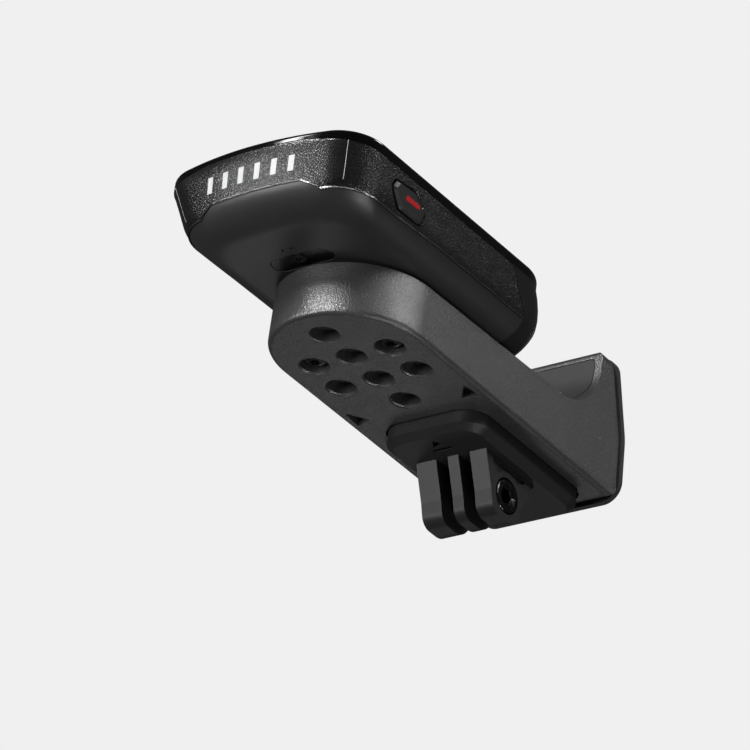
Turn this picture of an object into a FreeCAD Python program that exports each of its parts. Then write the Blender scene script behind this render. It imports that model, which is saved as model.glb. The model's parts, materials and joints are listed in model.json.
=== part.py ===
"""Cycling computer locked on an out-front handlebar mount.

Millimetres, +Z up, +Y towards the rider, +X to the rider's left. The shapes are drawn about the
twist-lock axis with Z = 0 on the arm's underside. They are written out with the origin at the
centre of the two bar bolts, on the face that meets the handlebar.
"""
import FreeCAD
import Part
import math
import os

V = FreeCAD.Vector
X_AXIS = V(1, 0, 0)
Y_AXIS = V(0, 1, 0)
Z_AXIS = V(0, 0, 1)

# The origin of the written parts, seen from the twist-lock axis.
BAR_Y = 78.2
BAR_Z = 25.5

# The computer and its lock sit on the sloping top of the arm.
LOCK_TILT = 0.8

# Arm
ARM_HALF = 19.6
ARM_NOSE_TOP = 13.35
ARM_REAR_TOP = 15.8
ARM_EDGE = 1.4
FLANGE_CORNER = 3.5
FLANGE_LIP = 2.2
REAR_LIP = 0.8
REAR_KNEE_R = 14.0
FOOT_R = 4.0
FLANGE_FRONT = 69.3
FLANGE_TOP = 36.0
FLANGE_FILLET = 15.0
REAR_TOP = 73.4
REAR_KNEE = (79.6, 16.5)
REAR_FOOT = 80.9
PAD_THICK = 1.5
PAD_OVERHANG = 0.7
PAD_LOW_R = 5.0

# Grid of holes under the twist-lock insert
HOLE_PITCH = 10.7
HOLE_GRID = [(0, -1), (0, 0), (0, 1), (0, 2), (-1, 0), (1, 0), (-1, 1), (1, 1)]
SCREWED_HOLES = [(-1, 0), (1, 0)]
ARROW_MARK = [(17.0, 20.6), (17.5, 27.1), (13.0, 25.6)]
ARROW_DEPTH = 2.4
HOLE_R = 3.5
HOLE_DEPTH = 3.3
HOLE_LIP = 0.35
M3_CLEAR_R = 1.7
M3_R = 1.5

# Twist-lock insert and the boss that turns in it
INSERT_R = 17.0
INSERT_LOW = 6.5
INSERT_TOP = 13.2
SOCKET_FLOOR = 9.0
LUG_UNDERSIDE = 11.4
SOCKET_R = 14.6
LUG_R = 12.0
NECK_R = 11.6
TAB_R = 14.3
TAB_LOW = 9.2
TAB_TOP = 11.2
TAB_ANGLE = 70
LUG_ANGLE = 84
BOSS_DISC_R = 15.6
BOSS_DISC_LOW = 14.3
BOSS_DISC_TOP = 15.8
BUSH_R = 2.4
BUSH_LENGTH = 2.2
SCREW_DOME_R = 4.6
SCREW_DOME_Z = 5.4
SCREW_SOCKET_R = 1.45
SCREW_SOCKET_DEPTH = 2.2
BOSS_SCREW_CIRCLE = 8.9
BOSS_SCREW_R = 0.8
BOSS_HEAD_R = 1.6
BOSS_HEAD_TOP = 1.4
BOSS_CORE_R = 6.5

# Bar bolts and their cover
BOLT_SPACING = 22.0
BOLT_R = 2.0
BOLT_WAIST_R = 1.6
BOLT_HOLE_R = 2.25
BOLT_RELIEF_R = 3.6
BOLT_HEAD_R = 3.6
BOLT_HEAD_H = 2.4
BOLT_SOCKET_R = 1.45
BOLT_SOCKET_DEPTH = 1.7
BOLT_REACH = 9.0
COVER_HALF = 17.4
COVER_LOW = 20.6
COVER_TOP = 33.4
COVER_THICK = 1.2
COVER_LOW_R = 6.5
COVER_TOP_R = 1.5
PANEL_GAP = 0.2

# Camera adapter
PLATE_HALF = 13.9
PLATE_FRONT = 30.0
PLATE_REAR = 77.0
PLATE_CORNER = 6.0
PLATE_SEAT = 1.2
PLATE_WALL = -3.0
PLATE_FACE = -4.4
PLATE_BEVEL = 1.9
PLATE_ARROW = [(0, 33.4), (1.8, 36.2), (-1.8, 36.2)]
PLATE_BAR_HALF = 2.6
PLATE_BAR_Y = (37.2, 38.2)
MARK_DEPTH = 1.1
ADAPTER_SCREW_X = 11.2
ADAPTER_SCREW_Y = (36.5, 50.0)
ADAPTER_HEAD_R = 2.75
ADAPTER_HEAD_LOW = 7.0
ADAPTER_HEAD_TOP = 9.2
FINGER_EDGES = [(-10.0, -4.3), (-1.0, 2.0), (5.3, 10.0)]
FINGER_FRONT_ROOT = 40.6
FINGER_REAR_ROOT = 61.6
FINGER_RADII = [0, 9, 3.6, 5.4, 5.4, 0]
FINGER_RELIEF = 0.7
CROSS_Y = 51.2
CROSS_Z = -12.0
CROSS_R = 2.45
CROSS_HOLE_R = 2.5
TIP_R = 6.3
CAP_R = 4.25
CAP_H = 3.6
CAP_ROUND = 0.6
CAP_SOCKET_R = 2.05
NUT_R = 4.65
NUT_DEPTH = 3.2

# Computer case
CASE_LOW = 15.0
CASE_TOP = 31.25
BEZEL_LOW = 28.2
BEZEL_RISE = 29.4
HALF_WIDTH = 28.4
FRONT_END = -45.8
REAR_END = 41.7
REAR_WIDEST = 21.0
REAR_LEAN = 0.07
REAR_ROLL = 0.335
FRONT_BOW = 93.0
REAR_BOW = 110.0
FRONT_CORNER = 10.6
REAR_CORNER = 12.0
WALL_DRAFT = 0.24
FRONT_DRAFT = 0.43
BELLY_R = 9.6
BELLY_FLAT = 17.9
BELLY_TURN = 67
BELLY_STEPS = 12
WALL_STEPS = 4
WALL = 2.0
FLOOR_TOP = 16.9
BAND_STEP = 0.12
BEZEL_ROUND = 1.2
LENS_LEDGE = 29.85
LENS_INSET = 2.2
LEDGE_WIDTH = 2.6
GLASS_CHAMFER = 0.25
SLIT_PLACE = (24.5, -41.5)
SLIT_TURN = 38
SLIT_HALF = 0.12
BUTTON_GAP = 0.2

# Keys
POWER_OUTLINE = [(-27.3, 23.7), (-26.4, 25.6), (-18.9, 26.2), (-14.1, 23.1), (-14.5, 20.1), (-23.1, 20.0)]
POWER_RADII = [1.0, 0.9, 2.4, 1.3, 1.2, 1.6]
POWER_Z = 23.2
POWER_BEVEL = 0.8
POWER_PROUD = 0.5
POWER_INSET = 0.15
POWER_OPENING = 0.3
POWER_RIM = 0.25
REAR_BUTTON_X = (4.5, 19.0)
REAR_BUTTON_Z = (20.2, 25.4)
POWER_BAR = ((-22.4, 22.8), (-17.1, 23.9))
REAR_KEY_FRONT = 37.6
REAR_KEY_PROUD = 0.5
REAR_STEM_X = 9.8

# Flap over the charging socket
FLAP_X = -1.5
FLAP_HALF = 8.3
FLAP_FRONT = -23.2
FLAP_REAR = -17.8
FLAP_CORNER = 2.6
FLAP_LOW = 15.1
FLAP_TOP = 16.2
FLAP_TAB_Y = -21.3
FLAP_TAB_R = 1.7
FLAP_TAB_LOW = 14.75
FLAP_HINGE_Y = -18.2
FLAP_HINGE_Z = 15.5
FLAP_ROLL_R = 0.4
FLAP_ROLL_X = (-6.9, 3.9)
USB_X = (-5.9, 2.9)
USB_Y = (-22.2, -18.8)
MIC_HOLES = [(-3.1, -25.8), (-0.8, -25.8)]
MIC_HOLE_R = 0.4

# Inside the case
DISPLAY_HALF = 19.5
DISPLAY_FRONT = -30.0
DISPLAY_REAR = 27.0
BOARD_HALF = 21.5
BOARD_FRONT = -37.0
BOARD_REAR = 35.5
BOARD_LOW = 22.6
BOARD_TOP = 23.6
BOARD_SCREW_X = 19.0
BOARD_SCREW_Y = (-28.5, 26.0)
BOARD_SCREW_R = 0.9
STANDOFF_R = 1.9
BUZZER_PLACE = (-2.0, -29.0)
BUZZER_R = 4.5


def box(x0, x1, y0, y1, z0, z1):
    """Block between two corners."""
    return Part.makeBox(x1 - x0, y1 - y0, z1 - z0, V(x0, y0, z0))


def rod(radius, start, end):
    """Cylinder between two points."""
    return Part.makeCylinder(radius, (end - start).Length, start, end - start)


def rounded_face(points, radii):
    """Flat face through the points, with each corner rounded by its radius."""
    count = len(points)
    arcs = []
    for i, corner in enumerate(points):
        back = (points[i - 1] - corner).normalize()
        ahead = (points[(i + 1) % count] - corner).normalize()
        half = back.getAngle(ahead) / 2
        radius = max(radii[i], 0.001)
        reach = radius / math.tan(half)
        inward = (back + ahead).normalize()
        middle = corner + inward * (radius / math.sin(half) - radius)
        arcs.append((corner + back * reach, middle, corner + ahead * reach))
    edges = []
    for i, (first, middle, last) in enumerate(arcs):
        edges.append(Part.Arc(first, middle, last).toShape())
        following = arcs[(i + 1) % count][0]
        if (following - last).Length > 1e-6:
            edges.append(Part.LineSegment(last, following).toShape())
    return Part.Face(Part.Wire(edges))


def side_prism(points, radii, x0, x1):
    """Outline drawn in Y and Z, carried from x0 to x1."""
    flat = rounded_face([V(x0, y, z) for y, z in points], radii)
    return flat.extrude(V(x1 - x0, 0, 0))


def front_prism(points, radii, y0, y1):
    """Outline drawn in X and Z, carried from y0 to y1."""
    flat = rounded_face([V(x, y0, z) for x, z in points], radii)
    return flat.extrude(V(0, y1 - y0, 0))


def plan_prism(points, radii, z0, z1):
    """Outline drawn in X and Y, carried from z0 to z1."""
    flat = rounded_face([V(x, y, z0) for x, y in points], radii)
    return flat.extrude(V(0, 0, z1 - z0))


def plan_block(half, y0, y1, corner, z0, z1):
    """Plate with rounded corners, symmetric in X."""
    points = [(-half, y0), (half, y0), (half, y1), (-half, y1)]
    return plan_prism(points, [corner] * 4, z0, z1)


def regular_prism(sides, radius, start, end, turn=0.0):
    """Prism with a regular polygon as its section, between two points."""
    along = (end - start).normalize()
    across = along.cross(Z_AXIS if abs(along.z) < 0.9 else X_AXIS).normalize()
    up = along.cross(across)
    points = []
    for i in range(sides + 1):
        angle = math.radians(turn) + 2 * math.pi * i / sides
        points.append(start + across * (radius * math.cos(angle)) + up * (radius * math.sin(angle)))
    return Part.Face(Part.makePolygon(points)).extrude(end - start)


def six_lobe_prism(radius, start, end):
    """Six-lobed driver socket between two points."""
    along = (end - start).normalize()
    across = along.cross(Z_AXIS if abs(along.z) < 0.9 else X_AXIS).normalize()
    up = along.cross(across)
    shape = rod(radius * 0.78, start, end)
    for i in range(6):
        angle = math.pi * i / 3
        shift = across * (radius * 0.76 * math.cos(angle)) + up * (radius * 0.76 * math.sin(angle))
        shape = shape.fuse(rod(radius * 0.24, start + shift, end + shift))
    return shape.removeSplitter()


def sector(radius, middle, spread, z0, z1):
    """Wedge of a disc about the twist-lock axis, its middle and spread in degrees."""
    low = math.radians(middle - spread / 2)
    high = math.radians(middle + spread / 2)
    points = [V(0, 0, z0)]
    for angle in (low, (low + high) / 2, high):
        reach = radius / math.cos(math.radians(spread / 4))
        points.append(V(reach * math.cos(angle), reach * math.sin(angle), z0))
    points.append(points[0])
    wedge = Part.Face(Part.makePolygon(points)).extrude(V(0, 0, z1 - z0))
    return wedge.common(rod(radius, V(0, 0, z0), V(0, 0, z1)))


def tilted(shape):
    """Shape turned with the arm's sloping top, about the X axis."""
    turned = shape.copy()
    turned.rotate(V(0, 0, 0), X_AXIS, LOCK_TILT)
    return turned


def write(name, shape):
    """Move the shape to the bar bolts and write it as one node."""
    placed = shape.copy()
    placed.translate(V(0, -BAR_Y, -BAR_Z))
    solids = placed.Solids
    kept = solids[0] if len(solids) == 1 else Part.makeCompound(solids)
    kept.exportStep(f"parts/{name}.step")
    print(f"{name:22s} solids {len(solids)} volume {kept.Volume:9.1f} valid {kept.isValid()}")


# ---------------------------------------------------------------- the mount's arm

def arm_profile(shift):
    """Side profile of arm and flange, moved back by shift, as a wide prism."""
    points = [
        (-ARM_HALF - 1, -1),
        (-ARM_HALF - 1, ARM_NOSE_TOP),
        (FLANGE_FRONT, ARM_REAR_TOP),
        (FLANGE_FRONT, FLANGE_TOP),
        (REAR_TOP, FLANGE_TOP),
        REAR_KNEE,
        (REAR_FOOT, -1),
    ]
    radii = [0, 0, FLANGE_FILLET, FLANGE_LIP, REAR_LIP, REAR_KNEE_R, 0]
    prism = side_prism(points, radii, -ARM_HALF - 5, ARM_HALF + 5)
    prism.translate(V(0, shift, 0))
    return prism


def arm_envelope():
    """Outer shape of the arm: round nose, straight sides and the flange at the rear."""
    half = ARM_HALF
    section = [(-half, 0), (half, 0), (half, FLANGE_TOP), (-half, FLANGE_TOP)]
    straight = front_prism(section, [ARM_EDGE, ARM_EDGE, FLANGE_CORNER, FLANGE_CORNER], 0, REAR_FOOT + 5)
    nose = rod(half, V(0, 0, 0), V(0, 0, 20))
    nose = nose.makeFillet(ARM_EDGE, [e for e in nose.Edges if abs(e.BoundBox.ZMax) < 1e-6])
    side_view = [(-half - 1, 0), (REAR_FOOT, 0), (REAR_FOOT, 40), (-half - 1, 40)]
    foot = side_prism(side_view, [0, FOOT_R, 0, 0], -half - 1, half + 1)
    return straight.fuse(nose).common(arm_profile(0)).common(foot)


def panel_prism(grow):
    """The bolt cover's outline, grown by a gap, carried through the flange's front."""
    half = COVER_HALF + grow
    low = COVER_LOW - grow
    high = COVER_TOP + grow
    points = [(-half, low), (half, low), (half, high), (-half, high)]
    radii = [COVER_LOW_R, COVER_LOW_R, COVER_TOP_R, COVER_TOP_R]
    return front_prism(points, radii, 55, FLANGE_FRONT + 3)


def bolt_places():
    return [-BOLT_SPACING / 2, BOLT_SPACING / 2]


def cover_seat_y():
    """Front of the pockets that take the bar bolts' heads."""
    return FLANGE_FRONT + COVER_THICK


def mount_arm(envelope):
    arm = envelope
    lock_cuts = [rod(INSERT_R + 0.1, V(0, 0, INSERT_LOW), V(0, 0, 30))]
    for column, row in HOLE_GRID:
        spot = V(column * HOLE_PITCH, row * HOLE_PITCH, 0)
        mouth = Part.makeCone(HOLE_R + HOLE_LIP, HOLE_R, HOLE_LIP, spot)
        mouth = mouth.fuse(rod(HOLE_R + HOLE_LIP, spot - Z_AXIS, spot))
        lock_cuts.append(mouth)
        lock_cuts.append(rod(HOLE_R, spot, spot + V(0, 0, HOLE_DEPTH)))
        lock_cuts.append(rod(M3_CLEAR_R, spot, spot + V(0, 0, INSERT_LOW + 1)))
    for cut in lock_cuts:
        arm = arm.cut(tilted(cut))
    for side in (-1, 1):
        mark = [(side * x, y) for x, y in ARROW_MARK]
        arm = arm.cut(plan_prism(mark, [0.3] * 3, -1, ARROW_DEPTH))
    seat_half = PLATE_HALF + 0.5
    seat = plan_block(seat_half, PLATE_FRONT - 0.5, PLATE_REAR + 0.5, PLATE_CORNER + 0.5, -1, PLATE_SEAT)
    arm = arm.cut(seat)
    for spot in adapter_screw_places():
        arm = arm.cut(rod(M3_CLEAR_R, spot, spot + V(0, 0, 20)))
        arm = arm.cut(rod(ADAPTER_HEAD_R + 0.35, spot + V(0, 0, ADAPTER_HEAD_LOW), spot + V(0, 0, 25)))
    skin = panel_prism(PANEL_GAP).common(envelope).cut(arm_profile(COVER_THICK + PANEL_GAP))
    arm = arm.cut(skin)
    for x in bolt_places():
        arm = arm.cut(rod(BOLT_HOLE_R, V(x, 55, BAR_Z), V(x, 90, BAR_Z)))
        arm = arm.cut(rod(BOLT_HEAD_R + 0.2, V(x, 60, BAR_Z), V(x, cover_seat_y() + BOLT_HEAD_H, BAR_Z)))
    return arm


def bolt_cover(envelope):
    """Thin panel, flush with the flange's front, over the bar bolts' heads."""
    return panel_prism(0).common(envelope).cut(arm_profile(COVER_THICK))


def bar_pad():
    """Rubber sheet between the flange and the handlebar, with a rim that shows all round."""
    half = ARM_HALF + PAD_OVERHANG
    rim = [(-half, 0.4), (half, 0.4), (half, FLANGE_TOP - 0.4), (-half, FLANGE_TOP - 0.4)]
    block = front_prism(rim, [PAD_LOW_R, PAD_LOW_R, FLANGE_CORNER, FLANGE_CORNER], REAR_TOP - 2, 90)
    points = [(REAR_TOP, FLANGE_TOP), REAR_KNEE, (REAR_FOOT, -1), (REAR_FOOT + PAD_THICK, -1)]
    points += [(REAR_KNEE[0] + PAD_THICK, REAR_KNEE[1]), (REAR_TOP + PAD_THICK, FLANGE_TOP)]
    sheet = side_prism(points, [0, REAR_KNEE_R, 0, 0, REAR_KNEE_R, 0], -half - 1, half + 1)
    pad = sheet.common(block)
    for x in bolt_places():
        pad = pad.cut(rod(BOLT_HOLE_R, V(x, 60, BAR_Z), V(x, 95, BAR_Z)))
        pad = pad.cut(rod(BOLT_RELIEF_R, V(x, BAR_Y, BAR_Z), V(x, 95, BAR_Z)))
    return pad


def bar_bolts():
    """Two waisted socket-head bolts whose threads stand out of the mount into the handlebar."""
    bolts = []
    for x in bolt_places():
        head_y = cover_seat_y()
        head = rod(BOLT_HEAD_R, V(x, head_y, BAR_Z), V(x, head_y + BOLT_HEAD_H, BAR_Z))
        waist = rod(BOLT_WAIST_R, V(x, head_y, BAR_Z), V(x, BAR_Y + 1, BAR_Z))
        thread = rod(BOLT_R, V(x, BAR_Y, BAR_Z), V(x, BAR_Y + BOLT_REACH, BAR_Z))
        socket_end = V(x, head_y + BOLT_SOCKET_DEPTH, BAR_Z)
        socket = regular_prism(6, BOLT_SOCKET_R, V(x, head_y - 1, BAR_Z), socket_end)
        bolts.append(head.fuse(waist).fuse(thread).removeSplitter().cut(socket))
    return Part.makeCompound(bolts)


# ---------------------------------------------------------------- the twist lock

def lock_screw_spots():
    return [V(column * HOLE_PITCH, row * HOLE_PITCH, 0) for column, row in SCREWED_HOLES]


def twist_lock_insert():
    insert = rod(INSERT_R, V(0, 0, INSERT_LOW), V(0, 0, INSERT_TOP))
    insert = insert.cut(rod(LUG_R, V(0, 0, SOCKET_FLOOR), V(0, 0, 20)))
    insert = insert.cut(rod(SOCKET_R, V(0, 0, SOCKET_FLOOR), V(0, 0, LUG_UNDERSIDE)))
    for middle in (90, 270):
        insert = insert.cut(sector(SOCKET_R, middle, 180 - LUG_ANGLE, LUG_UNDERSIDE - 1, 20))
    for spot in lock_screw_spots():
        low = spot + V(0, 0, INSERT_LOW)
        insert = insert.cut(rod(BUSH_R, low - Z_AXIS, low + V(0, 0, BUSH_LENGTH)))
    insert = insert.cut(rod(4.0, V(0, 0, INSERT_LOW - 1), V(0, 0, INSERT_LOW + 1.2)))
    return insert


def threaded_bushes():
    bushes = []
    for spot in lock_screw_spots():
        low = spot + V(0, 0, INSERT_LOW)
        outer = rod(BUSH_R, low, low + V(0, 0, BUSH_LENGTH))
        bushes.append(outer.cut(rod(M3_R, low - Z_AXIS, low + V(0, 0, BUSH_LENGTH + 1))))
    return Part.makeCompound(bushes)


def insert_screws():
    """Domed six-lobe screws in two of the grid's holes."""
    screws = []
    for spot in lock_screw_spots():
        head_r = HOLE_R - 0.25
        dome = Part.makeSphere(SCREW_DOME_R, spot + V(0, 0, SCREW_DOME_Z))
        head = rod(head_r, spot + V(0, 0, 0.5), spot + V(0, 0, HOLE_DEPTH)).common(dome)
        shank = rod(M3_R, spot + V(0, 0, 2), spot + V(0, 0, INSERT_LOW + BUSH_LENGTH - 0.2))
        socket = six_lobe_prism(SCREW_SOCKET_R, spot, spot + V(0, 0, SCREW_SOCKET_DEPTH))
        screws.append(head.fuse(shank).removeSplitter().cut(socket))
    return Part.makeCompound(screws)


def quarter_turn_boss():
    """Disc under the case with the neck and the two tabs that lock under the insert's lugs."""
    disc = rod(BOSS_DISC_R, V(0, 0, BOSS_DISC_LOW), V(0, 0, BOSS_DISC_TOP))
    neck = rod(NECK_R, V(0, 0, TAB_LOW), V(0, 0, BOSS_DISC_LOW + 0.5))
    boss = disc.fuse(neck)
    for middle in (0, 180):
        boss = boss.fuse(sector(TAB_R, middle, TAB_ANGLE, TAB_LOW, TAB_TOP))
    boss = boss.removeSplitter().cut(rod(BOSS_CORE_R, V(0, 0, TAB_LOW - 1), V(0, 0, TAB_LOW + 3)))
    for spot in boss_screw_spots():
        boss = boss.cut(rod(BOSS_SCREW_R, spot, spot + V(0, 0, 20)))
        boss = boss.cut(rod(BOSS_HEAD_R + 0.1, spot, spot + V(0, 0, TAB_LOW + BOSS_HEAD_TOP)))
    return boss


def boss_screw_spots():
    spots = []
    for turn in (45, 135, 225, 315):
        angle = math.radians(turn)
        spots.append(V(BOSS_SCREW_CIRCLE * math.cos(angle), BOSS_SCREW_CIRCLE * math.sin(angle), 0))
    return spots


def boss_screws():
    """Four small countersunk screws that hold the boss to the lower shell."""
    screws = []
    for spot in boss_screw_spots():
        head = rod(BOSS_HEAD_R, spot + V(0, 0, TAB_LOW + 0.3), spot + V(0, 0, TAB_LOW + BOSS_HEAD_TOP))
        shank = rod(BOSS_SCREW_R, spot + V(0, 0, TAB_LOW + 0.5), spot + V(0, 0, FLOOR_TOP - 0.3))
        slot = regular_prism(6, 0.7, spot, spot + V(0, 0, TAB_LOW + 1.0))
        screws.append(head.fuse(shank).removeSplitter().cut(slot))
    return Part.makeCompound(screws)


# ---------------------------------------------------------------- the camera adapter

def adapter_screw_places():
    return [V(side * ADAPTER_SCREW_X, y, 0) for side in (-1, 1) for y in ADAPTER_SCREW_Y]


def finger_outline(offset):
    """Raked finger as (y, z) points, pulled inwards by offset."""
    front_root = FINGER_FRONT_ROOT + offset
    rear_root = FINGER_REAR_ROOT - offset
    front_tip = CROSS_Y - TIP_R + offset
    rear_tip = CROSS_Y + TIP_R - offset
    low = CROSS_Z - TIP_R + offset
    return [
        (front_root, PLATE_FACE + 1),
        (front_tip, CROSS_Z - 1),
        (front_tip + 1.8, low),
        (rear_tip - 0.9, low),
        (rear_tip, CROSS_Z),
        (rear_root, PLATE_FACE + 1),
    ]


def plate_outline(inset, z):
    """The adapter's outline, pulled inwards, as a face at a height."""
    half = PLATE_HALF - inset
    front = PLATE_FRONT + inset
    rear = PLATE_REAR - inset
    corners = [V(-half, front, z), V(half, front, z), V(half, rear, z), V(-half, rear, z)]
    return rounded_face(corners, [PLATE_CORNER - inset] * 4)


def finger_relief(side):
    """Shallow recess round the bolt's boss on the outer side of an end finger."""
    outer = FINGER_EDGES[2][1] * side
    inner = outer - side * FINGER_RELIEF
    points = [(43.6, PLATE_FACE - 0.6), (45.6, CROSS_Z + 4), (55.0, CROSS_Z + 5), (58.6, PLATE_FACE - 0.6)]
    recess = side_prism(points, [0.4] * 4, min(inner, outer + side), max(inner, outer + side))
    boss = rod(TIP_R - 0.4, V(outer - side * 2, CROSS_Y, CROSS_Z), V(outer + side * 2, CROSS_Y, CROSS_Z))
    return recess.cut(boss)


def adapter_plate():
    """Bevelled plate under the arm with three camera fingers and a shallow direction mark."""
    plate = plan_block(PLATE_HALF, PLATE_FRONT, PLATE_REAR, PLATE_CORNER, PLATE_WALL, PLATE_SEAT)
    rims = [plate_outline(0, PLATE_WALL).OuterWire, plate_outline(PLATE_BEVEL, PLATE_FACE).OuterWire]
    plate = plate.fuse(Part.makeLoft(rims, True, True))
    for x0, x1 in FINGER_EDGES:
        plate = plate.fuse(side_prism(finger_outline(0), FINGER_RADII, x0, x1))
    plate = plate.removeSplitter()
    for side in (-1, 1):
        plate = plate.cut(finger_relief(side))
    left, right = FINGER_EDGES[0][0], FINGER_EDGES[2][1]
    beyond = V(right + 2, CROSS_Y, CROSS_Z)
    before = V(left - 2, CROSS_Y, CROSS_Z)
    plate = plate.cut(rod(CROSS_HOLE_R, before, beyond))
    plate = plate.cut(rod(CAP_R + 0.25, V(right - CAP_H + 0.2, CROSS_Y, CROSS_Z), beyond))
    plate = plate.cut(regular_prism(6, NUT_R + 0.1, before, V(left + NUT_DEPTH, CROSS_Y, CROSS_Z)))
    for spot in adapter_screw_places():
        plate = plate.cut(rod(M3_R, spot + V(0, 0, PLATE_WALL + 0.8), spot + V(0, 0, PLATE_SEAT + 1)))
    arrow = plan_prism(PLATE_ARROW, [0.1] * 3, PLATE_FACE - 1, PLATE_FACE + MARK_DEPTH)
    bar = plan_block(PLATE_BAR_HALF, *PLATE_BAR_Y, 0.2, PLATE_FACE - 1, PLATE_FACE + MARK_DEPTH)
    return plate.cut(arrow).cut(bar)


def adapter_screws():
    screws = []
    for spot in adapter_screw_places():
        top = spot + V(0, 0, ADAPTER_HEAD_TOP)
        head = rod(ADAPTER_HEAD_R, spot + V(0, 0, ADAPTER_HEAD_LOW), top)
        shank = rod(M3_R, spot + V(0, 0, PLATE_WALL + 1), spot + V(0, 0, ADAPTER_HEAD_LOW + 1))
        socket = regular_prism(6, 1.3, top - V(0, 0, 1.3), top + Z_AXIS)
        screws.append(head.fuse(shank).removeSplitter().cut(socket))
    return Part.makeCompound(screws)


def cross_bolt():
    """Clamp bolt through the fingers, its cap head in the finger on the rider's left."""
    right = FINGER_EDGES[2][1]
    left = FINGER_EDGES[0][0]
    seat = right - CAP_H + 0.2
    head = rod(CAP_R, V(seat, CROSS_Y, CROSS_Z), V(seat + CAP_H, CROSS_Y, CROSS_Z))
    rim = [e for e in head.Edges if abs(e.CenterOfMass.x - seat - CAP_H) < 1e-6 and len(e.Vertexes) == 1]
    head = head.makeFillet(CAP_ROUND, rim)
    dish = Part.makeCone(2.9, 2.3, 0.5, V(seat + CAP_H, CROSS_Y, CROSS_Z), V(-1, 0, 0))
    shank = rod(CROSS_R, V(left + 0.4, CROSS_Y, CROSS_Z), V(seat + 1, CROSS_Y, CROSS_Z))
    floor = V(seat + 1.2, CROSS_Y, CROSS_Z)
    socket = regular_prism(6, CAP_SOCKET_R, floor, floor + V(CAP_H, 0, 0))
    return head.cut(dish).fuse(shank).removeSplitter().cut(socket)


def cross_nut():
    left = FINGER_EDGES[0][0]
    nut = regular_prism(6, NUT_R, V(left + 0.3, CROSS_Y, CROSS_Z), V(left + NUT_DEPTH, CROSS_Y, CROSS_Z))
    return nut.cut(rod(CROSS_R, V(left - 2, CROSS_Y, CROSS_Z), V(left + 5, CROSS_Y, CROSS_Z)))


# ---------------------------------------------------------------- the computer's case

def case_half_width(z):
    """Half width of the case at a height: a drafted wall that rolls into the flat belly."""
    wall = HALF_WIDTH - (BEZEL_LOW - z) * WALL_DRAFT
    drop = BELLY_R - (z - CASE_LOW)
    if drop <= 0:
        return wall
    return min(wall, BELLY_FLAT + math.sqrt(max(BELLY_R ** 2 - drop ** 2, 0)))


def case_rear(z):
    """Rear end of the case at a height: it leans out downwards, then rolls under."""
    if z > REAR_WIDEST:
        return REAR_END - REAR_LEAN * (z - REAR_WIDEST) ** 2
    return REAR_END - REAR_ROLL * (case_half_width(REAR_WIDEST) - case_half_width(z))


def case_outline(half, front, rear, front_corner, rear_corner, z):
    """Closed outline of the case in plan: bowed ends, straight sides, round corners."""
    ends = []
    for end, bow, corner, facing in ((front, FRONT_BOW, front_corner, -1), (rear, REAR_BOW, rear_corner, 1)):
        centre = end - facing * bow
        corner_x = half - corner
        corner_y = centre + facing * math.sqrt((bow - corner) ** 2 - corner_x ** 2)
        scale = bow / (bow - corner)
        touch = (corner_x * scale, centre + (corner_y - centre) * scale)
        lean = math.atan2(touch[1] - corner_y, touch[0] - corner_x) / 2
        middle = (corner_x + corner * math.cos(lean), corner_y + corner * math.sin(lean))
        ends.append((end, corner_y, touch, middle))
    (f_end, f_side, f_touch, f_mid), (r_end, r_side, r_touch, r_mid) = ends
    edges = [
        Part.Arc(V(-f_touch[0], f_touch[1], z), V(0, f_end, z), V(f_touch[0], f_touch[1], z)),
        Part.Arc(V(f_touch[0], f_touch[1], z), V(f_mid[0], f_mid[1], z), V(half, f_side, z)),
        Part.LineSegment(V(half, f_side, z), V(half, r_side, z)),
        Part.Arc(V(half, r_side, z), V(r_mid[0], r_mid[1], z), V(r_touch[0], r_touch[1], z)),
        Part.Arc(V(r_touch[0], r_touch[1], z), V(0, r_end, z), V(-r_touch[0], r_touch[1], z)),
        Part.Arc(V(-r_touch[0], r_touch[1], z), V(-r_mid[0], r_mid[1], z), V(-half, r_side, z)),
        Part.LineSegment(V(-half, r_side, z), V(-half, f_side, z)),
        Part.Arc(V(-half, f_side, z), V(-f_mid[0], f_mid[1], z), V(-f_touch[0], f_touch[1], z)),
    ]
    return Part.Wire([edge.toShape() for edge in edges])


def case_section(z, inset):
    half = case_half_width(z) - inset
    depth = BEZEL_LOW - z
    roll = HALF_WIDTH - depth * WALL_DRAFT - case_half_width(z)
    front = FRONT_END + depth * FRONT_DRAFT + roll + inset
    rear = case_rear(z) - inset
    front_corner = max(FRONT_CORNER - inset, 1.0)
    rear_corner = max(REAR_CORNER - inset, 1.0)
    return case_outline(half, front, rear, front_corner, rear_corner, z)


def hull_heights():
    """Levels that follow the belly's roll in even turns, then the drafted wall."""
    last = math.radians(BELLY_TURN)
    turns = [last * i / BELLY_STEPS for i in range(BELLY_STEPS + 1)]
    belly = [CASE_LOW + BELLY_R * (1 - math.cos(turn)) for turn in turns]
    left_over = BEZEL_LOW - belly[-1]
    wall = [belly[-1] + left_over * i / WALL_STEPS for i in range(1, WALL_STEPS + 1)]
    return belly + wall


def case_hull(inset):
    """Outer shape of the case below the bezel."""
    return Part.makeLoft([case_section(z, inset) for z in hull_heights()], True, True)


def case_cavity():
    wires = [case_section(z, WALL) for z in (FLOOR_TOP, 18.4, 20.5, BEZEL_LOW)]
    wires.append(case_section_at(BEZEL_LOW, WALL, BEZEL_LOW + 1))
    return Part.makeLoft(wires, True, True)


def case_section_at(level, inset, z):
    """The section of one level, drawn at another height."""
    wire = case_section(level, inset)
    wire.translate(V(0, 0, z - level))
    return wire


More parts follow.
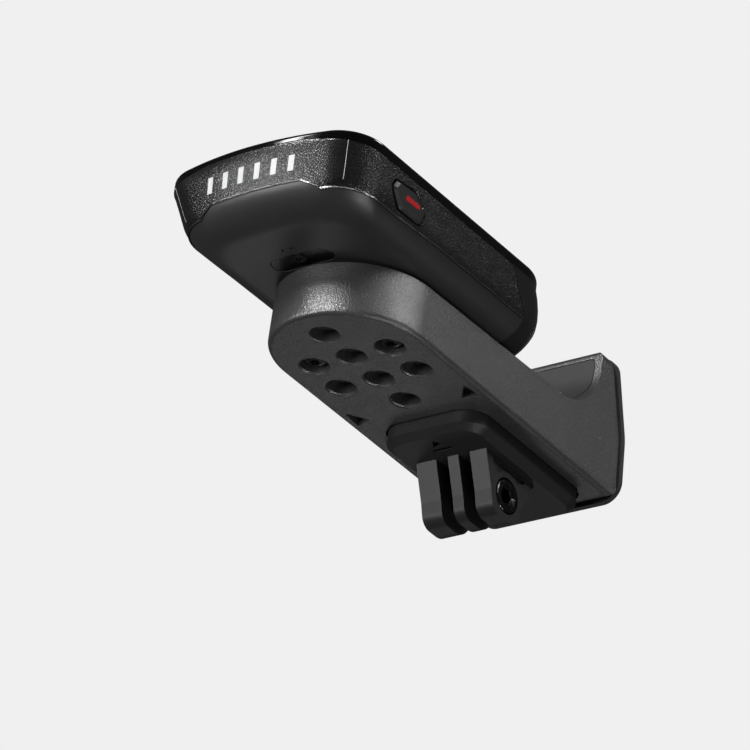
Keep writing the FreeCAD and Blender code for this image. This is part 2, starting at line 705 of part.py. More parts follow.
def below_seam():
    """Everything under the seam between the band and the lower shell."""
    points = [(-60, 0), (60, 0), (60, 19.6), (-6, 19.5), (-24, 18.95), (-60, 18.95)]
    side = side_prism(points, [0, 0, 0, 30, 30, 0], -40, 40)
    outline = [(-16.9, 10), (16.9, 10), (16.9, 19.1), (12.6, 20.95), (-12.6, 20.95), (-16.9, 19.1)]
    tab = front_prism(outline, [0, 0, 1, 1.5, 1.5, 1], -60, -34)
    return side.fuse(tab)


def behind_cap_line():
    """Everything behind the curved joint of the rear end cap."""
    top = BEZEL_LOW + 0.7
    points = [(18.6, top), (23.6, 24.3), (28.2, 19.9), (30.8, 10), (60, 10), (60, top)]
    return side_prism(points, [0, 14, 8, 0, 0, 0], -40, 40)


def front_rise():
    """The band rises into the bezel along the front and fades out round the corners."""
    low = BEZEL_LOW
    half = [(27.6, low - 2), (27.6, low), (21.0, low + 0.4), (14.0, BEZEL_RISE)]
    outline = half + [(-x, z) for x, z in reversed(half)]
    block = front_prism(outline, [0, 2, 6, 9, 9, 6, 2, 0], -60, -36.5)
    core = Part.Face(case_section_at(low, WALL, low - 3)).extrude(V(0, 0, 8))
    return block.cut(core)


def bezel_blank(inset):
    low = case_section(BEZEL_LOW, inset)
    prism = Part.Face(low).extrude(V(0, 0, CASE_TOP - BEZEL_LOW))
    rim = [e for e in prism.Edges if abs(e.BoundBox.ZMin - CASE_TOP) < 1e-6]
    return prism.makeFillet(BEZEL_ROUND, rim)


def lens_prism(inset, z0, z1):
    low = case_section_at(BEZEL_LOW, LENS_INSET + inset, z0)
    return Part.Face(low).extrude(V(0, 0, z1 - z0))


def top_bezel():
    bezel = bezel_blank(0).cut(front_rise())
    bezel = bezel.cut(lens_prism(0, LENS_LEDGE, CASE_TOP + 1))
    bezel = bezel.cut(lens_prism(LEDGE_WIDTH, BEZEL_LOW - 1, CASE_TOP))
    return bezel


def cover_glass():
    """Glass over the whole top, flush inside the bezel."""
    glass = lens_prism(0.06, LENS_LEDGE + 0.15, CASE_TOP - 0.05)
    rim = [e for e in glass.Edges if abs(e.BoundBox.ZMin - CASE_TOP + 0.05) < 1e-6]
    return glass.makeChamfer(GLASS_CHAMFER, rim)


def glass_adhesive():
    """Thin ring of adhesive between the ledge and the glass."""
    ring = lens_prism(0.1, LENS_LEDGE, LENS_LEDGE + 0.15)
    return ring.cut(lens_prism(LEDGE_WIDTH - 0.1, LENS_LEDGE - 1, CASE_TOP))


def grown(points, amount):
    """Outline points moved away from their middle by about amount."""
    middle_a = sum(p[0] for p in points) / len(points)
    middle_b = sum(p[1] for p in points) / len(points)
    moved = []
    for a, b in points:
        reach = math.hypot(a - middle_a, b - middle_b)
        factor = (reach + amount * 1.25) / reach
        moved.append((middle_a + (a - middle_a) * factor, middle_b + (b - middle_b) * factor))
    return moved


def on_wall(shape):
    """Shape drawn on an upright wall at x = 0, set on the leaning wall of the case."""
    placed = shape.copy()
    placed.translate(V(case_half_width(POWER_Z), 0, 0))
    placed.rotate(V(case_half_width(POWER_Z), 0, POWER_Z), Y_AXIS, math.degrees(math.atan(WALL_DRAFT)))
    return placed


def power_prism(grow, x0, x1):
    """The power key's outline carried between two depths from the wall's face."""
    radii = [r + grow for r in POWER_RADII]
    return on_wall(side_prism(grown(POWER_OUTLINE, grow), radii, x0, x1))


def power_taper(low, high):
    """The power key's outline run between two (growth, depth) pairs."""
    wires = []
    for grow, x in (low, high):
        outline = [V(x, y, z) for y, z in grown(POWER_OUTLINE, grow)]
        radii = [max(r + grow, 0.3) for r in POWER_RADII]
        wires.append(rounded_face(outline, radii).OuterWire)
    return on_wall(Part.makeLoft(wires, True, True))


def power_opening():
    """Hole for the power key, chamfered where it meets the wall."""
    rim = power_taper((POWER_OPENING, -POWER_RIM), (POWER_OPENING + 2 * POWER_RIM, POWER_RIM))
    return power_prism(POWER_OPENING, -4, 3).fuse(rim)


def rear_button_prism(side, grow, y0, y1):
    x0, x1 = (edge * side for edge in REAR_BUTTON_X)
    low, high = min(x0, x1) - grow, max(x0, x1) + grow
    z0, z1 = REAR_BUTTON_Z[0] - grow, REAR_BUTTON_Z[1] + grow
    return front_prism([(low, z0), (high, z0), (high, z1), (low, z1)], [1.6 + grow] * 4, y0, y1)


def usb_flap_prism(grow, z0, z1):
    block = plan_block(FLAP_HALF + grow, FLAP_FRONT - grow, FLAP_REAR + grow, FLAP_CORNER + grow, z0, z1)
    block.translate(V(FLAP_X, 0, 0))
    return block


def upper_case(cavity):
    """Textured band round the case."""
    band = case_hull(BAND_STEP).cut(below_seam()).cut(behind_cap_line())
    rise = bezel_blank(BAND_STEP).common(front_rise())
    band = band.fuse(rise).cut(cavity).removeSplitter()
    skin = case_hull(BAND_STEP - 0.1).cut(case_hull(BAND_STEP + 0.2))
    for side in (-1, 1):
        slit = box(-SLIT_HALF, SLIT_HALF, -10, 4, 10, 40)
        slit.rotate(V(0, 0, 0), Z_AXIS, side * SLIT_TURN)
        slit.translate(V(side * SLIT_PLACE[0], SLIT_PLACE[1], 0))
        band = band.cut(slit.common(skin))
    band = band.cut(power_opening())
    return band


def lower_shell(cavity):
    shell = case_hull(0).common(below_seam()).cut(behind_cap_line()).cut(cavity)
    shell = shell.cut(rod(BOSS_DISC_R + 0.05, V(0, 0, 10), V(0, 0, BOSS_DISC_TOP)))
    shell = shell.cut(usb_flap_prism(0.15, 10, FLAP_TOP))
    shell = shell.cut(box(*USB_X, *USB_Y, 10, 20))
    for x, y in MIC_HOLES:
        shell = shell.cut(rod(MIC_HOLE_R, V(x, y, 10), V(x, y, 20)))
    for spot in boss_screw_spots():
        shell = shell.cut(rod(BOSS_SCREW_R, spot + V(0, 0, 10), spot + V(0, 0, FLOOR_TOP - 0.2)))
    shell = shell.cut(power_opening())
    return shell


def rear_end_cap(cavity):
    cap = case_hull(0).common(behind_cap_line()).cut(cavity)
    for side in (-1, 1):
        cap = cap.cut(rear_button_prism(side, BUTTON_GAP, 30, 50))
    return cap


def power_button():
    """Slanted key in the band, bevelled all round and a little proud of the wall."""
    key = power_prism(-POWER_INSET, -2.6, 0)
    cap = power_taper((-POWER_INSET, 0), (-POWER_BEVEL, POWER_PROUD))
    stem = on_wall(box(-3.7, -2.6, -21.8, -18.8, 21.8, 23.8))
    return key.fuse(cap).fuse(stem).removeSplitter().cut(power_bar_prism(-0.3, 1))


def power_bar_prism(x0, x1):
    (y0, z0), (y1, z1) = POWER_BAR
    return on_wall(side_prism([(y0, z0), (y1, z0), (y1, z1), (y0, z1)], [0.5] * 4, x0, x1))


def power_button_bar():
    """Red inlay in the power key."""
    return power_bar_prism(-0.3, POWER_PROUD + 0.08)


def rear_button(side):
    proud = case_hull(0)
    proud.translate(V(0, REAR_KEY_PROUD, 0))
    key = rear_button_prism(side, 0, REAR_KEY_FRONT, 50).common(proud)
    middle = REAR_STEM_X * side
    stem = box(middle - 1.2, middle + 1.2, REAR_KEY_FRONT - 1, REAR_KEY_FRONT + 0.2, 21.0, 23.4)
    return key.fuse(stem).removeSplitter()


def usb_flap():
    """Rubber flap over the charging socket, with a round finger tab and a hinge roll at its rear edge."""
    flap = usb_flap_prism(0, FLAP_LOW, FLAP_TOP).cut(box(-12, 9, FLAP_HINGE_Y, -16, 14, 17))
    ends = [V(x, FLAP_HINGE_Y, FLAP_HINGE_Z) for x in FLAP_ROLL_X]
    roll = rod(FLAP_ROLL_R, *ends)
    low = V(FLAP_X, FLAP_TAB_Y, FLAP_TAB_LOW)
    tab = rod(FLAP_TAB_R, low, low + V(0, 0, 0.75))
    dish = rod(FLAP_TAB_R - 0.6, low - Z_AXIS, low + V(0, 0, 0.25))
    return flap.fuse(roll).fuse(tab).removeSplitter().cut(dish)


def case_seal():
    heights = (17.3, 19.7)
    outer = Part.makeLoft([case_section(z, WALL + 0.1) for z in heights], True, True)
    inner = Part.makeLoft([case_section(z, WALL + 0.8) for z in heights], True, True)
    return outer.cut(inner).cut(box(20, 40, -29, -13, 10, 40)).Solids[0]


# ---------------------------------------------------------------- inside the case

def inside_block(half, y0, y1, z0, z1):
    return plan_block(half, y0, y1, 1.5, z0, z1)


def display_block(grow, z0, z1):
    return inside_block(DISPLAY_HALF + grow, DISPLAY_FRONT - grow, DISPLAY_REAR + grow, z0, z1)


def display_parts():
    """Panel, light guide and the carrier that holds them under the glass."""
    top = LENS_LEDGE - 0.2
    panel = display_block(0, top - 1.2, top)
    guide = display_block(-0.5, top - 2.2, top - 1.3)
    room = display_block(0.1, top - 2.3, top + 1)
    carrier = display_block(1.5, top - 3.3, top - 0.2).cut(room)
    return panel, guide, carrier


def main_board():
    board = plan_block(BOARD_HALF, BOARD_FRONT, BOARD_REAR, 5, BOARD_LOW, BOARD_TOP)
    for spot in board_screw_spots():
        board = board.cut(rod(BOARD_SCREW_R, spot + V(0, 0, 20), spot + V(0, 0, 30)))
    return board


def board_screw_spots():
    return [V(BOARD_SCREW_X * side, y, 0) for side in (-1, 1) for y in BOARD_SCREW_Y]


def board_screws():
    screws = []
    for spot in board_screw_spots():
        head = rod(1.5, spot + V(0, 0, BOARD_TOP), spot + V(0, 0, BOARD_TOP + 0.9))
        shank = rod(BOARD_SCREW_R, spot + V(0, 0, BOARD_LOW - 1.4), spot + V(0, 0, BOARD_TOP + 0.4))
        screws.append(head.fuse(shank).removeSplitter())
    return Part.makeCompound(screws)


def standoffs():
    """Four pillars between the floor and the board."""
    pillars = []
    for spot in board_screw_spots():
        pillar = rod(STANDOFF_R, spot + V(0, 0, FLOOR_TOP + 0.1), spot + V(0, 0, BOARD_LOW))
        pillars.append(pillar.cut(rod(BOARD_SCREW_R, spot + V(0, 0, 20), spot + V(0, 0, 30))))
    return Part.makeCompound(pillars)


def usb_port():
    shell = box(*USB_X, *USB_Y, FLAP_TOP + 0.05, 21.9)
    opening = box(USB_X[0] + 0.6, USB_X[1] - 0.6, USB_Y[0] + 0.4, USB_Y[1] - 0.4, 16, 21)
    tongue = box(USB_X[0] + 1.6, USB_X[1] - 1.6, USB_Y[0] + 1.4, USB_Y[1] - 1.4, 16.6, 21.4)
    return shell.cut(opening).fuse(tongue).removeSplitter()


def switches():
    """Snap switches behind the two rear keys."""
    bodies = []
    for side in (-1, 1):
        middle = REAR_STEM_X * side
        bodies.append(box(middle - 2.2, middle + 2.2, 33.7, 35.7, 20.6, BOARD_LOW))
    return Part.makeCompound(bodies)


os.makedirs("parts", exist_ok=True)

outer_arm = arm_envelope()
write("mount_arm", mount_arm(outer_arm))
write("bolt_cover", bolt_cover(outer_arm))
write("bar_pad", bar_pad())
write("bar_bolts", bar_bolts())
write("adapter_plate", adapter_plate())
write("adapter_screws", adapter_screws())
write("cross_bolt", cross_bolt())
write("cross_nut", cross_nut())

write("twist_lock_insert", tilted(twist_lock_insert()))
write("threaded_bushes", tilted(threaded_bushes()))
write("insert_screws", tilted(insert_screws()))
write("quarter_turn_boss", tilted(quarter_turn_boss()))
write("boss_screws", tilted(boss_screws()))

room = case_cavity()
display_panel, light_guide, display_carrier = display_parts()
write("top_bezel", tilted(top_bezel()))
write("cover_glass", tilted(cover_glass()))
write("glass_adhesive", tilted(glass_adhesive()))
write("upper_case", tilted(upper_case(room)))
write("lower_shell", tilted(lower_shell(room)))
write("rear_end_cap", tilted(rear_end_cap(room)))
write("case_seal", tilted(case_seal()))
write("power_button", tilted(power_button()))
write("power_button_bar", tilted(power_button_bar()))
write("lap_button", tilted(rear_button(-1)))
write("start_button", tilted(rear_button(1)))
write("usb_flap", tilted(usb_flap()))

write("display_panel", tilted(display_panel))
write("light_guide", tilted(light_guide))
write("display_carrier", tilted(display_carrier))
write("main_board", tilted(main_board()))
write("board_screws", tilted(board_screws()))
write("board_standoffs", tilted(standoffs()))
write("battery", tilted(inside_block(15.0, -13, 25, FLOOR_TOP + 0.1, 21.9)))
write("gps_antenna", tilted(box(-7, 7, -36.5, -32.5, BOARD_TOP, 27.0)))
write("shield_can", tilted(box(-14, 2, -10, 8, BOARD_TOP, 25.2)))
write("usb_port", tilted(usb_port()))
buzzer_seat = V(*BUZZER_PLACE, FLOOR_TOP + 0.1)
write("buzzer", tilted(rod(BUZZER_R, buzzer_seat, buzzer_seat + Z_AXIS)))
write("pressure_sensor", tilted(box(8, 11, -29, -26, 20.8, BOARD_LOW)))
write("power_switch", tilted(box(21.6, 22.9, -22.6, -18.0, 20.9, 24.9)))
write("rear_switches", tilted(switches()))
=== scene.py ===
import json
import math

import bmesh
import bpy
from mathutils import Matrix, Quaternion, Vector
from mathutils.bvhtree import BVHTree


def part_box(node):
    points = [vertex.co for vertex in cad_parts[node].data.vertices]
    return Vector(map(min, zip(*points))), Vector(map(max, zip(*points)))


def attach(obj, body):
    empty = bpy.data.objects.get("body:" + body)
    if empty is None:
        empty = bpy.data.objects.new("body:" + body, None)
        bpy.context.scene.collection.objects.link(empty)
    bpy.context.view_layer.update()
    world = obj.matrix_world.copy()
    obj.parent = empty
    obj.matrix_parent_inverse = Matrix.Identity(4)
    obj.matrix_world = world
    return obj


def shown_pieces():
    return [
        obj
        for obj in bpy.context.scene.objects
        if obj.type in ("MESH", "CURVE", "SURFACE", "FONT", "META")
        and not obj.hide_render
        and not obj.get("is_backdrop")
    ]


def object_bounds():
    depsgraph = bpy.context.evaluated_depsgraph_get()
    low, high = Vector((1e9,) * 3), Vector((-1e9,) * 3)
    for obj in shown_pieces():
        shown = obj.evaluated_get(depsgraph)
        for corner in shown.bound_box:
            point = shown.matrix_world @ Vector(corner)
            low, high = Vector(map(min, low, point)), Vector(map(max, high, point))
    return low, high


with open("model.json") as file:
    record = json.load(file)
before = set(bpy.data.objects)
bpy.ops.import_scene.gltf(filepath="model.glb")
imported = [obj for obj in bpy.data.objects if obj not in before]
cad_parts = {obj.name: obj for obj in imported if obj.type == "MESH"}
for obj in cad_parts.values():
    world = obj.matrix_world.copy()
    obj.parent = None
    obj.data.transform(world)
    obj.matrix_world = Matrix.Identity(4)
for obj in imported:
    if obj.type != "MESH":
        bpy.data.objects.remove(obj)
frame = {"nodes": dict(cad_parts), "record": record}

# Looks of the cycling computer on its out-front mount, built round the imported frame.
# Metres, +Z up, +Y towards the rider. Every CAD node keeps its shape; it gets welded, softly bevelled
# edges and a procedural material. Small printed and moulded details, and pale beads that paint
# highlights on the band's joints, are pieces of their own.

MM = 0.001
UM = 0.000001
WELD = 2 * UM
WHITE = (1, 1, 1, 1)
cad_low, cad_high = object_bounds()
NODES = frame["nodes"]
bpy.context.scene.view_settings.view_transform = "Standard"


# ---------------------------------------------------------------- node material helpers

def new_material(name):
    """Material with nothing but a Principled shader on its surface, and that shader."""
    material = bpy.data.materials.new(name)
    material.use_nodes = True
    nodes = material.node_tree.nodes
    nodes.clear()
    output = nodes.new("ShaderNodeOutputMaterial")
    shader = nodes.new("ShaderNodeBsdfPrincipled")
    material.node_tree.links.new(shader.outputs["BSDF"], output.inputs["Surface"])
    return material, shader


def add(material, kind, **values):
    """New node with its properties and unlinked inputs set by name."""
    node = material.node_tree.nodes.new(kind)
    for key, value in values.items():
        if hasattr(node, key):
            setattr(node, key, value)
        else:
            node.inputs[key.replace("_", " ")].default_value = value
    return node


def link(material, source, target):
    material.node_tree.links.new(source, target)


def coordinates(material):
    """Object coordinates, in metres."""
    return add(material, "ShaderNodeTexCoord").outputs["Object"]


def noise(material, scale, detail=4.0, roughness=0.55):
    """Noise value with so many features a metre."""
    node = add(material, "ShaderNodeTexNoise", Scale=scale, Detail=detail, Roughness=roughness)
    link(material, coordinates(material), node.inputs["Vector"])
    return node.outputs["Fac"]


def spread(material, value, low, high, from_low=0.3, from_high=0.7):
    """Value carried from one range to another."""
    node = add(
        material, "ShaderNodeMapRange",
        From_Min=from_low, From_Max=from_high, To_Min=low, To_Max=high,
    )
    link(material, value, node.inputs["Value"])
    return node.outputs["Result"]


def dots(material, scale):
    """Height of small round bumps, so many a metre."""
    node = add(material, "ShaderNodeTexVoronoi", Scale=scale)
    link(material, coordinates(material), node.inputs["Vector"])
    return spread(material, node.outputs["Distance"], 1, 0, 0.0, DOT_REACH)


def blend_colour(material, factor, first, second):
    """Colour that goes from the first to the second as the factor goes from 0 to 1."""
    node = add(material, "ShaderNodeMix", data_type="RGBA")
    node.inputs["A"].default_value = (*first, 1)
    node.inputs["B"].default_value = (*second, 1)
    link(material, factor, node.inputs["Factor"])
    return node.outputs["Result"]


def bump(material, shader, layers):
    """Stack of bump layers, each a height and its depth in metres."""
    previous = None
    for height, depth in layers:
        node = add(material, "ShaderNodeBump", Strength=1.0, Distance=depth)
        link(material, height, node.inputs["Height"])
        if previous is not None:
            link(material, previous, node.inputs["Normal"])
        previous = node.outputs["Normal"]
    link(material, previous, shader.inputs["Normal"])


def average(material, first, second, share):
    """Share of the first value and the rest of the second."""
    node = add(material, "ShaderNodeMix", data_type="FLOAT")
    node.inputs["Factor"].default_value = share
    link(material, second, node.inputs["A"])
    link(material, first, node.inputs["B"])
    return node.outputs["Result"]


# ---------------------------------------------------------------- materials

# How grain, cloudy tone, wear and smears mix in the materials. Scales are in features a metre.
DOT_REACH = 0.8
GRAIN_ROUGHNESS = 0.65
GRAIN_SHARE = 0.6
ROUGH_SWING = 0.06
CLOUD_SCALE = 180
CLOUD_DETAIL = 5.0
CLOUD_ROUGHNESS = 0.6
CLOUD_BUMP = 0.08
WEAR_SCALE = 500
WEAR_TINT = 0.15
SCRATCH_SCALE = 7200
SCRATCH_DETAIL = 2.0
SCRATCH_DEPTH = 4 * UM
SMEAR_SCALE = 60
SMEAR_DETAIL = 5.0
SMEAR_DEPTH = 2 * UM


def moulded(name, dark, light, rough, grain_scale, grain_depth, specular, dotted):
    """Moulded plastic: colour that follows its grain and a faint cloud, with roughness to match."""
    material, shader = new_material(name)
    if dotted:
        grain = dots(material, grain_scale)
    else:
        grain = noise(material, grain_scale, roughness=GRAIN_ROUGHNESS)
    cloud = noise(material, CLOUD_SCALE, CLOUD_DETAIL, CLOUD_ROUGHNESS)
    tone = average(material, spread(material, grain, 0, 1), spread(material, cloud, 0, 1), GRAIN_SHARE)
    link(material, blend_colour(material, tone, dark, light), shader.inputs["Base Color"])
    sheen = spread(material, grain, rough + ROUGH_SWING, rough - ROUGH_SWING)
    link(material, sheen, shader.inputs["Roughness"])
    shader.inputs["Specular IOR Level"].default_value = specular
    bump(material, shader, [(grain, grain_depth), (cloud, grain_depth * CLOUD_BUMP)])
    return material


def metal(name, colour, rough):
    """Metal with fine scratches and cloudy wear."""
    material, shader = new_material(name)
    wear = noise(material, WEAR_SCALE)
    scratch = noise(material, SCRATCH_SCALE, SCRATCH_DETAIL)
    worn = tuple(channel * (1 - WEAR_TINT) for channel in colour)
    tone = blend_colour(material, spread(material, wear, 0, 1), worn, colour)
    link(material, tone, shader.inputs["Base Color"])
    link(material, spread(material, wear, rough * 0.8, rough * 1.3), shader.inputs["Roughness"])
    shader.inputs["Metallic"].default_value = 1.0
    bump(material, shader, [(scratch, SCRATCH_DEPTH)])
    return material


def lens_glass():
    """Clear glass that shows the dark display through a faint smear."""
    material, shader = new_material("lens_glass")
    smear = noise(material, SMEAR_SCALE, SMEAR_DETAIL)
    link(material, spread(material, smear, 0.03, 0.08), shader.inputs["Roughness"])
    shader.inputs["Base Color"].default_value = (0.9, 0.92, 0.94, 1)
    shader.inputs["Transmission Weight"].default_value = 1.0
    shader.inputs["IOR"].default_value = 1.5
    bump(material, shader, [(smear, SMEAR_DEPTH)])
    return material


def grey(level):
    """Colour with the same level in all three channels."""
    return (level, level, level)


# name: dark tone, light tone, roughness, grains a metre, grain depth, specular level, dotted grain
PLASTICS = {
    "arm_plastic": (grey(0.016), grey(0.038), 0.32, 2700, 55 * UM, 1.0, True),
    "cover_plastic": (grey(0.018), grey(0.03), 0.5, 3600, 50 * UM, 0.3, False),
    "adapter_plastic": (grey(0.01), grey(0.016), 0.42, 5200, 20 * UM, 0.22, False),
    "insert_plastic": (grey(0.012), grey(0.016), 0.4, 7000, 10 * UM, 0.5, False),
    "band_plastic": (grey(0.002), grey(0.014), 0.24, 2700, 50 * UM, 0.6, True),
    "shell_plastic": (grey(0.016), grey(0.022), 0.36, 9000, 8 * UM, 0.45, False),
    "cap_plastic": (grey(0.01), grey(0.013), 0.22, 9000, 4 * UM, 0.5, False),
    "bezel_gloss": (grey(0.004), grey(0.006), 0.1, 400, 1.2 * UM, 0.6, False),
    "key_plastic": (grey(0.012), grey(0.019), 0.3, 5200, 20 * UM, 0.5, False),
    "key_red": ((0.38, 0.014, 0.02), (0.46, 0.02, 0.026), 0.22, 4000, 12 * UM, 0.5, False),
    "pad_rubber": (grey(0.016), grey(0.024), 0.5, 5200, 20 * UM, 0.4, False),
    "flap_rubber": (grey(0.003), grey(0.005), 0.3, 6000, 8 * UM, 0.35, False),
    "display_dark": ((0.03, 0.033, 0.032), (0.036, 0.04, 0.038), 0.3, 3000, 2 * UM, 0.5, False),
    "guide_clear": (grey(0.7), grey(0.8), 0.2, 3000, 2 * UM, 0.5, False),
    "board_green": ((0.01, 0.1, 0.04), (0.015, 0.14, 0.06), 0.3, 3000, 6 * UM, 0.5, False),
    "ceramic": ((0.4, 0.4, 0.41), (0.46, 0.46, 0.47), 0.45, 2500, 40 * UM, 0.5, False),
}
# name: colour, roughness
METALS = {
    "bolt_steel": ((0.13, 0.13, 0.135), 0.28),
    "cap_steel": ((0.06, 0.057, 0.059), 0.16),
    "bush_brass": ((0.7, 0.52, 0.24), 0.3),
    "metal_can": ((0.6, 0.6, 0.62), 0.3),
    "cell_foil": ((0.62, 0.62, 0.64), 0.38),
}
MATERIALS = {"lens_glass": lens_glass()}
for key, looks in PLASTICS.items():
    MATERIALS[key] = moulded(key, *looks)
for key, looks in METALS.items():
    MATERIALS[key] = metal(key, *looks)


# ---------------------------------------------------------------- CAD nodes

# Bevel widths in millimetres. A node that isn't listed keeps its plain edges.
BEVELS = {
    "mount_arm": 0.35, "bolt_cover": 0.2, "bar_pad": 0.3, "adapter_plate": 0.14, "adapter_screws": 0.15,
    "top_bezel": 0.25, "upper_case": 0.12, "lower_shell": 0.12, "rear_end_cap": 0.12,
    "power_button": 0.12, "power_button_bar": 0.25, "lap_button": 0.35, "start_button": 0.35,
    "usb_flap": 0.25, "twist_lock_insert": 0.2, "quarter_turn_boss": 0.2, "insert_screws": 0.1,
    "cross_bolt": 0.1, "cross_nut": 0.15,
}
SHARP_ANGLE = math.radians(33)


def sharp_edge_group():
    """Modifier that keeps an edge sharp where its two faces meet at more than the sharp angle."""
    group = bpy.data.node_groups.new("sharp_edges", "GeometryNodeTree")
    group.interface.new_socket("Geometry", in_out="INPUT", socket_type="NodeSocketGeometry")
    group.interface.new_socket("Geometry", in_out="OUTPUT", socket_type="NodeSocketGeometry")
    source = group.nodes.new("NodeGroupInput")
    result = group.nodes.new("NodeGroupOutput")
    angle = group.nodes.new("GeometryNodeInputMeshEdgeAngle")
    compare = group.nodes.new("FunctionNodeCompare")
    compare.operation = "LESS_THAN"
    compare.inputs["B"].default_value = SHARP_ANGLE
    shade = group.nodes.new("GeometryNodeSetShadeSmooth")
    shade.domain = "EDGE"
    group.links.new(angle.outputs["Unsigned Angle"], compare.inputs["A"])
    group.links.new(source.outputs["Geometry"], shade.inputs["Geometry"])
    group.links.new(compare.outputs["Result"], shade.inputs["Shade Smooth"])
    group.links.new(shade.outputs["Geometry"], result.inputs["Geometry"])
    return group


SHARP_EDGES = sharp_edge_group()


def smooth_faces(mesh):
    """Shade every face smooth, with normals worked out from the faces."""
    if "custom_normal" in mesh.attributes:
        mesh.attributes.remove(mesh.attributes["custom_normal"])
    mesh.polygons.foreach_set("use_smooth", [True] * len(mesh.polygons))


def soften(node):
    """Weld the mesh, round its sharp edges a little and shade the rest smooth."""
    obj = NODES[node]
    smooth_faces(obj.data)
    weld = obj.modifiers.new("weld", "WELD")
    weld.merge_threshold = WELD
    edges = obj.modifiers.new("sharp_edges", "NODES")
    edges.node_group = SHARP_EDGES
    width = BEVELS.get(node)
    if width:
        bevel = obj.modifiers.new("bevel", "BEVEL")
        bevel.width = width * MM
        bevel.segments = 2
        bevel.limit_method = "ANGLE"
        bevel.angle_limit = SHARP_ANGLE
        bevel.use_clamp_overlap = True
        bevel.miter_outer = "MITER_ARC"
    normals = obj.modifiers.new("normals", "WEIGHTED_NORMAL")
    normals.keep_sharp = True


def dress():
    """Give every CAD node its material and soft edges."""
    slots = {entry["node"]: entry["material_slot"] for entry in frame["record"]["subparts"]}
    for name, obj in NODES.items():
        obj.data.materials.clear()
        obj.data.materials.append(MATERIALS[slots[name]])
        soften(name)


dress()


# ---------------------------------------------------------------- small details

# The lip's section along the seam, as steps outward and up from the shell's top edge.
LIP_SECTION = [
    (0.03 * MM, 0.02 * MM), (0.04 * MM, -0.4 * MM),
    (-0.15 * MM, -0.5 * MM), (-0.2 * MM, 0.02 * MM),
]
LIP_STEP = 0.25 * MM
LIP_SHORTEST = 2 * MM

# An edge is on the shell's rim if one face is this level and the other this steep and turned outward.
RIM_LEVEL = 0.6
RIM_STEEP = 0.2
RIM_OUTWARD = 0.2

# The band's two joint lines, drawn as pale beads that paint their highlights: place from the lock's
# axis, way they face, and depth below the band's top.
JOINT_PLACE = (24.5 * MM, -41.5 * MM)
JOINT_TURN = math.radians(38)
JOINT_LOW = 9.0 * MM
JOINT_STEP = 0.4 * MM
JOINT_POINTS = 23
JOINT_CAST = 20 * MM
JOINT_LIFT = 0.04 * MM
JOINT_R = 0.11 * MM

# Flat prints, laid on a surface from so far in front of it and lifted off it a little.
PRINT_CAST = 30 * MM
PRINT_LIFT = 0.02 * MM
PRINT_CUTS = 3

# The row of bars on the front of the band, its foot measured down from the band's top.
BAR_COUNT = 6
BAR_PITCH = 4.6 * MM
BAR_WIDE = 1.5 * MM
BAR_TALL = 3.2 * MM
BAR_SLANT = 1.0 * MM
BAR_LOW = 6.3 * MM
BAR_SHIFT = 2.1 * MM

# The rear keys' marks.
MARK_R = 1.25 * MM
MARK_LINE = 0.4 * MM
MARK_SIDES = 24

# The display's blank fields, and the border that overlaps it under the glass.
FIELD_EDGE = 1.2 * MM
FIELD_LINE = 0.3 * MM
FIELD_ROWS = (0.25, 0.5, 0.75)
BORDER_INSET = 0.9 * MM
DOWNWARD = -0.9


def middle(node):
    """Middle of the node's box."""
    low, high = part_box(node)
    return (Vector(low) + Vector(high)) / 2


LOCK = middle("quarter_turn_boss")


def finish_piece(obj, slot, body):
    """Add a piece to the scene with its material, riding on a body."""
    obj.data.materials.append(MATERIALS[slot])
    bpy.context.scene.collection.objects.link(obj)
    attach(obj, body)


def finish_shape(name, shape, slot, body, smooth=False):
    """Piece made from a bmesh."""
    mesh = bpy.data.meshes.new(name)
    shape.to_mesh(mesh)
    shape.free()
    if smooth:
        smooth_faces(mesh)
    finish_piece(bpy.data.objects.new(name, mesh), slot, body)


def welded(node):
    """The node's mesh in a bmesh with its corners joined."""
    shape = bmesh.new()
    shape.from_mesh(NODES[node].data)
    bmesh.ops.remove_doubles(shape, verts=shape.verts, dist=WELD)
    shape.normal_update()
    return shape


def surface(node):
    """Search tree of the node's surface, to lay details on."""
    shape = welded(node)
    tree = BVHTree.FromBMesh(shape)
    shape.free()
    return tree


def chains(edges):
    """Edges joined end to end into lists of points."""
    ways = {}
    for edge in edges:
        for vert in edge.verts:
            ways.setdefault(vert, []).append(edge)
    used = set()
    found = []
    starts = [v for v in ways if len(ways[v]) == 1] + list(ways)
    for start in starts:
        line = [start.co.copy()]
        vert = start
        while True:
            ahead = [e for e in ways[vert] if e not in used]
            if not ahead:
                break
            used.add(ahead[0])
            vert = ahead[0].other_vert(vert)
            line.append(vert.co.copy())
        if len(line) > 1:
            found.append(line)
    return found


def spaced(line, gap):
    """The line with its inner points kept at least a gap apart."""
    kept = [line[0]]
    for place in line[1:-1]:
        if (place - kept[-1]).length > gap:
            kept.append(place)
    kept.append(line[-1])
    return kept


def length(line):
    """Length along the line of points."""
    return sum((after - before).length for before, after in zip(line, line[1:]))


def beads(name, lines, radius, slot, body):
    """Thin round bead along each line of points."""
    curve = bpy.data.curves.new(name, "CURVE")
    curve.dimensions = "3D"
    curve.bevel_depth = radius
    curve.bevel_resolution = 2
    curve.use_fill_caps = True
    for line in lines:
        spline = curve.splines.new("POLY")
        spline.points.add(len(line) - 1)
        for point, place in zip(spline.points, line):
            point.co = (*place, 1)
        spline.use_smooth = True
    finish_piece(bpy.data.objects.new(name, curve), slot, body)


